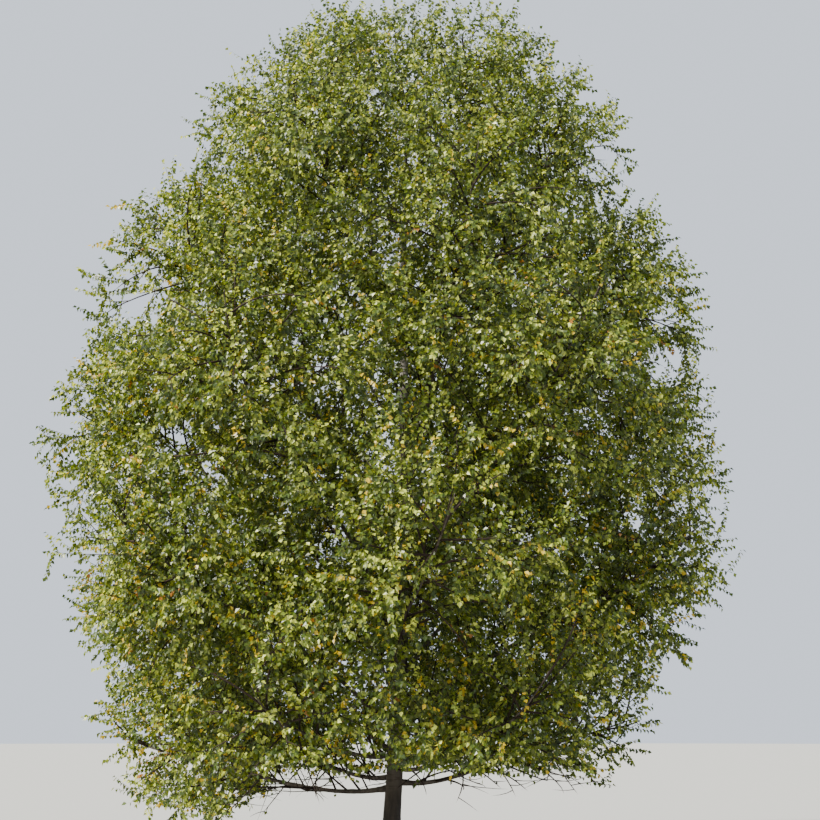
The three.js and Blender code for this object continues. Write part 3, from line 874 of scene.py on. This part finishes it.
def trunk_relief(places):
    """Height in bark depths: fissured ridges at the foot, lenticels and shallow swellings above."""
    z = places[..., 2]
    old_bark = np.exp(-np.maximum(z - OLD_BARK_TOP, 0) / OLD_BARK_FADE)
    ridges = (1 - 2 * np.abs(noise_at(places, *RIDGE_WAVES))) * RIDGE_SHARE
    plates = noise_at(places, *PLATE_WAVES) * PLATE_SHARE
    swellings = noise_at(places, *SWELLING_WAVES) * SWELLING_SHARE
    lenticels = noise_at(places, *LENTICEL_WAVES) * LENTICEL_SHARE
    height = old_bark * (ridges + plates) + (1 - old_bark) * (lenticels + swellings)
    height *= np.clip(trunk_radius(z) / TRUNK_RADIUS, LEAST_TRUNK_RELIEF, 1)
    return np.where(z < FOOT_HEIGHT, np.minimum(height, 0), height)


def bough_mesh(path, radii, bark_depth):
    """The corners and triangles of one bough with its stem."""
    along = distances_along(path)
    distance = np.linspace(0, along[-1], math.ceil(along[-1] / BOUGH_RING_SPACING))
    axis = with_steps(path, len(distance) - 1)
    radii = np.interp(distance, along, radii)
    outward = ring_directions(axis[None], BOUGH_SIDES)[0]
    rows = axis[:, None] + outward * radii[:, None, None]
    collar = COLLAR_SHARE * radii * np.exp(-distance / COLLAR_LENGTH)
    height = bough_relief(rows, radii) * bark_depth + collar[:, None]
    return capped(rows + outward * height[:, :, None], axis)


def bough_relief(places, radii):
    """Height in bark depths: fine wrinkles, and knots."""
    knots = np.maximum(noise_at(places, *KNOT_WAVES) - KNOT_LEVEL, 0) * KNOT_SHARE
    wrinkles = noise_at(places, *WRINKLE_WAVES) * WRINKLE_SHARE
    return (knots + wrinkles) * np.clip(radii / FULL_RELIEF_RADIUS, LEAST_BOUGH_RELIEF, 1)[:, None]


# Materials


def new_material(name, roughness, specular):
    """A material with its nodes, and its Principled shader."""
    material = bpy.data.materials.new(name)
    material.use_nodes = True
    shader = material.node_tree.nodes["Principled BSDF"]
    shader.inputs["Roughness"].default_value = roughness
    shader.inputs["Specular IOR Level"].default_value = specular
    return material, shader


def add_node(tree, kind, **inputs):
    """A node with values for its inputs by name, where an output socket is linked in instead."""
    node = tree.nodes.new(kind)
    for name, value in inputs.items():
        socket = node.inputs[name.replace("_", " ")]
        if isinstance(value, bpy.types.NodeSocket):
            tree.links.new(value, socket)
        else:
            socket.default_value = value
    return node


def stretched_noise(material, scale, stretch, detail=4.0, roughness=0.55):
    """Noise on Object coordinates, with each axis multiplied by its stretch."""
    place = add_node(material.node_tree, "ShaderNodeTexCoord").outputs["Object"]
    mapping = add_node(material.node_tree, "ShaderNodeMapping", Vector=place, Scale=stretch)
    node = add_node(material.node_tree, "ShaderNodeTexNoise", Vector=mapping.outputs["Vector"],
                    Scale=scale, Detail=detail, Roughness=roughness)
    return node.outputs["Fac"]


def ramp(material, factor, *stops):
    """Colours at places from 0 to 1."""
    node = add_node(material.node_tree, "ShaderNodeValToRGB", Fac=factor)
    elements = node.color_ramp.elements
    while len(elements) < len(stops):
        elements.new(0.5)
    for element, (place, color) in zip(elements, stops):
        element.position = place
        element.color = (*color, 1.0)
    return node.outputs["Color"]


def blend_colors(material, factor, first, second):
    """The first colour where the factor is 0, and the second where it is 1."""
    node = material.node_tree.nodes.new("ShaderNodeMix")
    node.data_type = "RGBA"
    material.node_tree.links.new(factor, node.inputs[0])
    for socket, value in ((node.inputs[6], first), (node.inputs[7], second)):
        if isinstance(value, bpy.types.NodeSocket):
            material.node_tree.links.new(value, socket)
        else:
            socket.default_value = (*value, 1.0)
    return node.outputs[2]


def add_bump(material, shader, height, strength, distance):
    bump = add_node(material.node_tree, "ShaderNodeBump", Height=height, Strength=strength,
                    Distance=distance)
    material.node_tree.links.new(bump.outputs["Normal"], shader.inputs["Normal"])


def trunk_bark(colors):
    """Grey birch bark: pale patches, dark lenticels across, and a dark fissured foot, whose dark colour
    also reaches up the lower trunk as painted shade under the crown.
    """
    material, shader = new_material("trunk_bark", roughness=0.75, specular=0.3)
    black, white = (0, 0, 0), (1, 1, 1)
    patches = stretched_noise(material, scale=3.0, stretch=(1, 1, 0.6))
    stops = ((0.36, colors.bark_dark), (0.5, colors.bark_grey), (0.68, colors.bark_pale))
    body = ramp(material, patches, *stops)
    lenticels = stretched_noise(material, scale=5.0, stretch=(1, 1, 11), detail=3.0, roughness=0.6)
    lenticels = ramp(material, lenticels, (0.56, black), (0.64, white))
    body = blend_colors(material, lenticels, body, colors.bark_dark)
    cracks = stretched_noise(material, scale=9.0, stretch=(1, 1, 0.25), detail=5.0, roughness=0.65)
    # The foot's dark bark colours, blended far up the trunk: partly the real old bark, partly painted
    # shade under the crown
    foot_and_shade_colors = ramp(material, cracks, (0.35, colors.bark_dark), (0.65, colors.bark_foot_and_shade))
    body = blend_colors(material, foot_and_shade_share(material), body, foot_and_shade_colors)
    material.node_tree.links.new(body, shader.inputs["Base Color"])
    grain = stretched_noise(material, scale=40.0, stretch=(1, 1, 0.5))
    add_bump(material, shader, grain, strength=0.35, distance=0.004)
    return material


def foot_and_shade_share(material):
    """How far the bark is the dark old bark of the foot, by height. Reaching up the lower trunk, it also
    paints the crown's shade there.
    """
    place = add_node(material.node_tree, "ShaderNodeTexCoord").outputs["Object"]
    height = add_node(material.node_tree, "ShaderNodeSeparateXYZ", Vector=place).outputs["Z"]
    low, high = FOOT_AND_SHADE_HEIGHTS
    return add_node(material.node_tree, "ShaderNodeMapRange", Value=height, From_Min=low, From_Max=high,
                    To_Min=FOOT_AND_SHADE_SHARE, To_Max=0.0).outputs["Result"]


def bough_bark(colors):
    """Dark brown young bark with a paler bloom."""
    material, shader = new_material("bough_bark", roughness=0.7, specular=0.3)
    bloom = stretched_noise(material, scale=14.0, stretch=(1, 1, 1))
    body = ramp(material, bloom, (0.35, colors.bough_dark), (0.7, colors.bough_pale))
    material.node_tree.links.new(body, shader.inputs["Base Color"])
    grain = stretched_noise(material, scale=90.0, stretch=(1, 1, 1))
    add_bump(material, shader, grain, strength=0.3, distance=0.002)
    return material


def twig_bark(colors):
    """Thin dark twigs, one plain colour because thousands are joined."""
    material, shader = new_material("twig_bark", roughness=0.75, specular=0.2)
    shader.inputs["Base Color"].default_value = (*colors.twig, 1.0)
    return material


def leaf_material(name, color, glow):
    """A leaf of one tint: a soft gloss, with light passing through in a yellower tone."""
    material, shader = new_material(name, roughness=0.38, specular=0.6)
    shader.inputs["Base Color"].default_value = (*color, 1.0)
    through = (min(part * gain, 1.0) for part, gain in zip(color, GLOW_TONE))
    thin = add_node(material.node_tree, "ShaderNodeBsdfTranslucent", Color=(*through, 1.0))
    mix = add_node(material.node_tree, "ShaderNodeMixShader", Fac=glow)
    links = material.node_tree.links
    links.new(shader.outputs["BSDF"], mix.inputs[1])
    links.new(thin.outputs["BSDF"], mix.inputs[2])
    links.new(mix.outputs["Shader"], material.node_tree.nodes["Material Output"].inputs["Surface"])
    return material


# Leaves


class Leaves(NamedTuple):
    """Where leaves are and how they are turned."""

    roots: np.ndarray
    headings: np.ndarray
    faces: np.ndarray
    sprays: np.ndarray  # the number of the limb that each leaf is on


def place_leaves(shoots, spacing, first_spray=0):
    """Leaves on alternate sides of each shoot, held out, drooping, and turned to the light."""
    lengths = lengths_of(shoots.paths)
    counts = np.floor(lengths / spacing).astype(int) + 1
    shoot, place = np.nonzero(np.arange(counts.max())[None] < counts[:, None])

    def roll(low, high, which):
        return between(low, high, shoot, place, 5, which)

    share = 1 - place * spacing / lengths[shoot] * LEAFY_SHOOT
    roots, heading = at(shoots.paths[shoot], share)
    turn = chance(shoot, 3, 5) * TURN + place * math.pi + roll(-LEAF_TURN, LEAF_TURN, 1)
    ahead = heading * np.where(place == 0, TIP_LEAF_AHEAD, LEAF_AHEAD)[:, None]
    wander = np.stack([roll(-1, 1, which) for which in (2, 3, 4)], 1) * LEAF_WANDER
    headings = unit(ahead + aside(heading, turn) * LEAF_ASIDE - UP * LEAF_DROOP + wander)
    wander = np.stack([roll(-1, 1, which) for which in (5, 6, 7)], 1)
    outward = unit(roots - trunk_axis(roots[:, 2]))
    faces = unit(UP * LEAF_FACING_UP + outward * LEAF_FACING_OUT + wander * LEAF_FACING_WANDER)
    kept = roll(0, 1, 8) > openness(roots) * BARE_IN_ARCH
    return chosen(Leaves(roots, headings, faces, shoot + first_spray), kept)


def deal_tints(leaves):
    """Each leaf's tint. A spray leans to one green, and some sprays have begun to turn."""
    leaf = np.arange(len(leaves.sprays))
    low = 1 - np.clip(leaves.roots[:, 2] / CROWN_TOP, 0, 1)
    lean = SPRAY_SAY * chance(leaves.sprays, 17, 3) + (1 - SPRAY_SAY) * chance(leaf, 23, 5)
    tints = np.searchsorted(GREEN_BOUNDS, lean)
    few, many = TURNING_SPRAYS
    turning = chance(leaves.sprays, 29, 7) < few + (many - few) * low
    turned = turning & (chance(leaf, 31, 11) < TURNED_LEAVES)
    rusty = chance(leaves.sprays, 37, 13) < RUST_SHARE
    return np.where(turned, len(GREENS) + rusty, tints)


def leaf_pattern(length, width, fold):
    """A birch leaf's rhombus, widest low down and folded on its midrib."""
    corners = np.array([(x * width, y * length, abs(x) * width * fold) for x, y in LEAF_OUTLINE])
    return mesh_object("leaf_pattern", corners, np.array([(0, 1, 2), (0, 2, 3)]), smooth=False)


def leaf_tree():
    """Geometry Nodes that put a leaf on every point, turned as the point's attributes say."""
    tree = bpy.data.node_groups.new("leaf_sprays", "GeometryNodeTree")
    smallest, largest = LEAF_SIZES
    for name, kind, default in (("Geometry", "Geometry", None), ("Leaf", "Object", None),
                                ("Smallest", "Float", smallest), ("Largest", "Float", largest),
                                ("Seed", "Int", SEED), ("Material", "Material", None)):
        socket = tree.interface.new_socket(name, in_out="INPUT", socket_type=f"NodeSocket{kind}")
        if default is not None:
            socket.default_value = default
    tree.interface.new_socket("Geometry", in_out="OUTPUT", socket_type="NodeSocketGeometry")
    given = tree.nodes.new("NodeGroupInput").outputs

    axes = tree.nodes.new("FunctionNodeAxesToRotation")
    axes.primary_axis = "Y"
    axes.secondary_axis = "Z"
    for socket, name in zip(axes.inputs, LEAF_ATTRIBUTES):
        attribute = add_node(tree, "GeometryNodeInputNamedAttribute", Name=name)
        attribute.data_type = "FLOAT_VECTOR"
        tree.links.new(attribute.outputs["Attribute"], socket)

    size = tree.nodes.new("FunctionNodeRandomValue")
    size.data_type = "FLOAT"
    sockets = {socket.name: socket for socket in size.inputs if socket.enabled}
    for source, name in (("Smallest", "Min"), ("Largest", "Max"), ("Seed", "Seed")):
        tree.links.new(given[source], sockets[name])

    leaf = add_node(tree, "GeometryNodeObjectInfo", Object=given["Leaf"])
    spread = add_node(tree, "GeometryNodeInstanceOnPoints", Points=given["Geometry"],
                      Instance=leaf.outputs["Geometry"], Rotation=axes.outputs["Rotation"],
                      Scale=next(socket for socket in size.outputs if socket.enabled))
    realize = add_node(tree, "GeometryNodeRealizeInstances", Geometry=spread.outputs["Instances"])
    paint = add_node(tree, "GeometryNodeSetMaterial", Geometry=realize.outputs["Geometry"],
                     Material=given["Material"])
    add_node(tree, "NodeGroupOutput", Geometry=paint.outputs["Geometry"])
    return tree


def leaf_piece(name, leaves, pattern, tree, material, seed):
    """All leaves of one tint as one plain mesh."""
    points = bpy.data.meshes.new(f"{name}_points")
    points.vertices.add(len(leaves.roots))
    points.vertices.foreach_set("co", leaves.roots.astype(np.float32).ravel())
    for attribute, vectors in zip(LEAF_ATTRIBUTES, (leaves.headings, leaves.faces)):
        layer = points.attributes.new(attribute, "FLOAT_VECTOR", "POINT")
        layer.data.foreach_set("vector", vectors.astype(np.float32).ravel())
    carrier = new_object(f"{name}_points", points)
    modifier = carrier.modifiers.new("leaf_sprays", "NODES")
    modifier.node_group = tree
    inputs = (item for item in tree.interface.items_tree if item.in_out == "INPUT")
    sockets = {item.name: item.identifier for item in inputs}
    modifier[sockets["Leaf"]] = pattern
    modifier[sockets["Seed"]] = seed
    modifier[sockets["Material"]] = material
    depsgraph = bpy.context.evaluated_depsgraph_get()
    mesh = bpy.data.meshes.new_from_object(carrier.evaluated_get(depsgraph))
    bpy.data.objects.remove(carrier)
    bpy.data.meshes.remove(points)
    mesh.name = name
    for attribute in LEAF_ATTRIBUTES:
        if attribute in mesh.attributes:
            mesh.attributes.remove(mesh.attributes[attribute])
    return new_object(name, mesh)


# Settings


def length(name, description, default):
    return bpy.props.FloatProperty(name=name, description=description, default=default, unit="LENGTH",
                                   precision=4)


def color(name, description, default):
    return bpy.props.FloatVectorProperty(name=name, description=description, default=default,
                                         subtype="COLOR", size=3, min=0.0, max=1.0)


class BirchSizes(bpy.types.PropertyGroup):
    leaf_length: length("Leaf length", "From a leaf's root to its tip", 0.056)
    leaf_width: length("Leaf width", "Across a leaf at its widest", 0.046)
    leaf_spacing: length("Leaf spacing", "Between leaves along a shoot", 0.023)
    spur_spacing: length("Spur spacing", "Between the leaves that grow straight on a branchlet", 0.05)
    leaf_fold: bpy.props.FloatProperty(
        name="Leaf fold", description="Rise of a leaf's edge over its midrib, of the half width",
        default=0.4)
    leaf_glow: bpy.props.FloatProperty(
        name="Leaf glow", description="Share of the light that passes through a leaf", default=0.35,
        subtype="FACTOR")
    twigs_per_mass: bpy.props.IntProperty(
        name="Twigs in a mass", description="Twigs on the stem and bough of each mass", default=28)
    bark_depth: length("Bark depth", "Height of the ridges at the trunk's foot", 0.011)


class BirchColors(bpy.types.PropertyGroup):
    deep: color("Deep", "Deep green leaves", (0.027, 0.048, 0.005))
    green: color("Green", "Mid green leaves", (0.053, 0.087, 0.008))
    olive: color("Olive", "Olive leaves", (0.09, 0.112, 0.01))
    fresh: color("Fresh", "Fresh green leaves", (0.135, 0.18, 0.017))
    # Partly a paler leaf tone, partly painted highlight: made pale to paint the glints of sunlit leaves
    light: color("Light", "Pale yellow-green leaves", (0.38, 0.43, 0.08))
    yellow: color("Yellow", "Leaves turned yellow", (0.42, 0.31, 0.018))
    rust: color("Rust", "Leaves turned rusty orange", (0.26, 0.11, 0.012))
    bark_pale: color("Pale bark", "Pale patches of the trunk", (0.26, 0.245, 0.215))
    bark_grey: color("Grey bark", "Most of the trunk", (0.15, 0.132, 0.112))
    bark_dark: color("Dark bark", "Cracks and lenticels", (0.022, 0.017, 0.013))
    # Blended up the lower trunk by height, this colour also paints the crown's shade there
    bark_foot_and_shade: color("Foot bark", "Ridges at the trunk's foot", (0.075, 0.058, 0.044))
    bough_dark: color("Dark limb", "Darkest bark of the boughs", (0.03, 0.022, 0.017))
    bough_pale: color("Pale limb", "Palest bark of the boughs", (0.12, 0.1, 0.08))
    twig: color("Twig", "Twigs and shoots", (0.024, 0.015, 0.011))
    floor: color("Floor", "The stage's floor", (0.34, 0.34, 0.32))
    sky: color("Sky", "The even light all round", (0.8, 0.88, 1.0))


# Operators


def finish_piece(piece, slot, *nodes):
    """Puts a piece on the tree's body, in place of the nodes that it stands for. The slot is not used.
    """
    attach(piece, "root")
    if nodes:
        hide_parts(*nodes)


class BIRCH_OT_trunk(bpy.types.Operator):
    """Make the trunk with its bark"""

    bl_idname = "birch.trunk"
    bl_label = "Trunk"

    def execute(self, context):
        piece = mesh_object("trunk_bark", *trunk_mesh(context.scene.birch_sizes.bark_depth))
        piece.data.materials.append(trunk_bark(context.scene.birch_colors))
        finish_piece(piece, "trunk_bark", "trunk")
        return {"FINISHED"}


class BIRCH_OT_boughs(bpy.types.Operator):
    """Make the boughs and the stems that go on from them"""

    bl_idname = "birch.boughs"
    bl_label = "Boughs"

    def execute(self, context):
        sizes = context.scene.birch_sizes
        tree = grow_tree(sizes.twigs_per_mass)
        parts = [bough_mesh(path, radii, sizes.bark_depth) for path, radii in tree.boughs]
        piece = mesh_object("bough_bark", *merged(parts))
        piece.data.materials.append(bough_bark(context.scene.birch_colors))
        nodes = [f"bough_{mass.name}" for mass in tree.masses if mass.bough is not None]
        finish_piece(piece, "bough_bark", *nodes)
        return {"FINISHED"}


class BIRCH_OT_twigs(bpy.types.Operator):
    """Make the twigs, branchlets and shoots"""

    bl_idname = "birch.twigs"
    bl_label = "Twigs"

    def execute(self, context):
        tree = grow_tree(context.scene.birch_sizes.twigs_per_mass)
        material = twig_bark(context.scene.birch_colors)
        for name, limbs, sides in (("twigs", tree.twigs, TWIG_SIDES),
                                   ("branchlets", tree.branchlets, SIDE_LIMB_SIDES),
                                   ("shoots", tree.shoots, SIDE_LIMB_SIDES)):
            piece = mesh_object(name, *cone_tubes(limbs, sides))
            piece.data.materials.append(material)
            finish_piece(piece, "bough_bark")
        return {"FINISHED"}


class BIRCH_OT_leaves(bpy.types.Operator):
    """Make the leaves, one piece for each tint"""

    bl_idname = "birch.leaves"
    bl_label = "Leaves"

    def execute(self, context):
        sizes, colors = context.scene.birch_sizes, context.scene.birch_colors
        tree = grow_tree(sizes.twigs_per_mass)
        on_shoots = place_leaves(tree.shoots, sizes.leaf_spacing)
        on_branchlets = place_leaves(tree.branchlets, sizes.spur_spacing, len(tree.shoots.owners))
        leaves = joined(on_shoots, on_branchlets)
        tints = deal_tints(leaves)
        pattern = leaf_pattern(sizes.leaf_length, sizes.leaf_width, sizes.leaf_fold)
        nodes = leaf_tree()
        masses = [f"foliage_{mass.name}" for mass in tree.masses]
        for index, tint in enumerate(GREENS + AUTUMN):
            if not (tints == index).any():
                raise RuntimeError(f"no leaf has the tint {tint}")
            material = leaf_material(f"leaf_{tint}", getattr(colors, tint), sizes.leaf_glow)
            dealt = chosen(leaves, tints == index)
            piece = leaf_piece(f"leaves_{tint}", dealt, pattern, nodes, material, SEED + index)
            finish_piece(piece, "foliage", *(masses if index == 0 else ()))
        bpy.data.objects.remove(pattern)
        return {"FINISHED"}


class BIRCH_OT_stage(bpy.types.Operator):
    """Make the floor, the light and the camera"""

    bl_idname = "birch.stage"
    bl_label = "Stage"

    def execute(self, context):
        colors = context.scene.birch_colors
        make_floor(colors.floor)
        make_light(context.scene, colors.sky)
        make_camera(context.scene)
        return {"FINISHED"}


def make_floor(tone):
    """A wide pale disc, so that its edge is level from every side."""
    material, shader = new_material("floor", roughness=0.9, specular=0.1)
    shader.inputs["Base Color"].default_value = (*tone, 1.0)
    rim = level_ring(FLOOR_SIDES) * FLOOR_RADIUS
    here = np.arange(FLOOR_SIDES)
    triangles = np.stack([here, (here + 1) % FLOOR_SIDES, np.full(FLOOR_SIDES, FLOOR_SIDES)], 1)
    floor = mesh_object("floor", np.append(rim, np.zeros((1, 3)), 0), triangles, smooth=False)
    floor.data.materials.append(material)


def make_light(scene, tone):
    """A soft key light from the upper left, and an even light all round."""
    lamp = bpy.data.lights.new("key_light", "SUN")
    lamp.energy = SUN_STRENGTH
    lamp.angle = SUN_SOFTNESS
    lamp.color = SUN_TONE
    light = new_object("key_light", lamp)
    light.rotation_euler = Vector(SUN_FROM).to_track_quat("Z", "Y").to_euler()
    world = bpy.data.worlds.new("studio")
    world.use_nodes = True
    background = world.node_tree.nodes["Background"]
    background.inputs["Color"].default_value = (*tone, 1.0)
    background.inputs["Strength"].default_value = SKY_STRENGTH
    scene.world = world


def make_camera(scene):
    """A camera at eye height, tilted up at the tree."""
    data = bpy.data.cameras.new("camera")
    data.lens = CAMERA_LENS
    data.sensor_width = CAMERA_SENSOR
    data.clip_end = VIEW_DISTANCE
    camera = new_object("camera", data)
    camera.location = CAMERA_PLACE
    camera.rotation_euler = (math.pi / 2 + CAMERA_TILT, 0.0, 0.0)
    scene.camera = camera


# Panel and start


class BIRCH_PT_panel(bpy.types.Panel):
    """The birch's sizes, colours and steps"""

    bl_label = "Birch"
    bl_idname = "BIRCH_PT_panel"
    bl_space_type = "VIEW_3D"
    bl_region_type = "UI"
    bl_category = "Birch"

    def draw(self, context):
        for group in (context.scene.birch_sizes, context.scene.birch_colors):
            for name in group.__annotations__:
                self.layout.prop(group, name)
        for operator in OPERATORS:
            self.layout.operator(operator.bl_idname)


OPERATORS = (BIRCH_OT_trunk, BIRCH_OT_boughs, BIRCH_OT_twigs, BIRCH_OT_leaves, BIRCH_OT_stage)
CLASSES = (BirchSizes, BirchColors, *OPERATORS, BIRCH_PT_panel)


def register():
    for kind in CLASSES:
        bpy.utils.register_class(kind)
    bpy.types.Scene.birch_sizes = bpy.props.PointerProperty(type=BirchSizes)
    bpy.types.Scene.birch_colors = bpy.props.PointerProperty(type=BirchColors)


def unregister():
    del bpy.types.Scene.birch_colors
    del bpy.types.Scene.birch_sizes
    for kind in reversed(CLASSES):
        bpy.utils.unregister_class(kind)


def main():
    register()
    bpy.ops.birch.trunk()
    bpy.ops.birch.boughs()
    bpy.ops.birch.twigs()
    bpy.ops.birch.leaves()
    bpy.ops.birch.stage()


if __name__ == "__main__":
    main()
